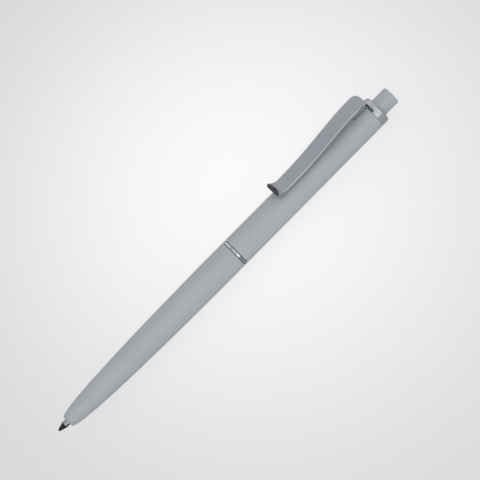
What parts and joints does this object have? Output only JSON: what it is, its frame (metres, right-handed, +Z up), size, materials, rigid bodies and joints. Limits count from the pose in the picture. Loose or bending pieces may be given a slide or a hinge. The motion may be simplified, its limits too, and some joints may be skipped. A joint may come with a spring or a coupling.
{
  "type": "retractable ballpoint pen",
  "caption": "Slim click ballpoint pen with a tapered barrel, chrome centre ring, sprung pocket clip and push button that runs the point out and in.",
  "frame": {"origin": "on the surface the pen lies on, under the middle of its length, with the point out", "axes": "+X along the pen towards the push button, +Y across it, +Z up through the clip"},
  "size_m": [0.144, 0.0096, 0.0135],
  "materials": {
    "soft_touch_grey": "soft satin coat over ABS",
    "satin_chrome": "satin chrome plate on moulded ABS",
    "chrome_trim": "bright chrome plate",
    "nickel_point": "turned nickel silver",
    "hard_metal_ball": "ground tungsten carbide",
    "spring_steel": "drawn spring wire",
    "white_acetal": "moulded acetal",
    "clear_tube": "milky extruded polypropylene",
    "blue_ink": "thick writing paste"
  },
  "bodies": {
    "upper_body": {"upper_barrel": "soft_touch_grey", "end_cap": "satin_chrome", "cam_sleeve": "white_acetal"},
    "ring": {"centre_ring": "chrome_trim"},
    "front": {"lower_barrel": "soft_touch_grey"},
    "clip": {"pocket_clip": "satin_chrome"},
    "button": {"push_button": "soft_touch_grey", "plunger": "white_acetal"},
    "refill": {"refill_tube": "clear_tube", "ink_column": "blue_ink", "refill_point": "nickel_point", "return_spring": "spring_steel"},
    "rotor": {"cam_rotor": "white_acetal"},
    "ball": {"writing_ball": "hard_metal_ball"}
  },
  "joints": [
    {"name": "click", "type": "slide", "parent": "upper_body", "child": "button", "axis": [1, 0, 0], "range_m": [-0.0012, 0.0053]},
    {"name": "refill_feed", "type": "slide", "parent": "upper_body", "child": "refill", "axis": [1, 0, 0], "range_m": [-0.0012, 0.0053], "deforming": ["return_spring"]},
    {"name": "rotor_index", "type": "hinge", "parent": "refill", "child": "rotor", "pos_m": [0.038, 0, 0.0048], "axis": [1, 0, 0], "continuous": true},
    {"name": "ball_roll", "type": "hinge", "parent": "refill", "child": "ball", "pos_m": [-0.07165, 0, 0.0048], "axis": [0, 1, 0], "continuous": true},
    {"name": "clip_flex", "type": "hinge", "parent": "upper_body", "child": "clip", "pos_m": [0.0608, 0, 0.00952], "axis": [0, 1, 0], "range_deg": [0, 2.5], "stiffness_Nm_per_rad": 1.8},
    {"name": "barrel_turn", "type": "hinge", "parent": "upper_body", "child": "ring", "pos_m": [0.0035, 0, 0.0048], "axis": [-1, 0, 0], "range_deg": [0, 2161]},
    {"name": "barrel_draw", "type": "slide", "parent": "ring", "child": "front", "axis": [-1, 0, 0], "range_m": [0, 0.0075]}
  ],
  "couplings": [
    {"joint": "refill_feed", "follows": "click", "ratio": 1},
    {"joint": "barrel_turn", "follows": "barrel_draw", "rad_per_m": 5026.5}
  ]
}
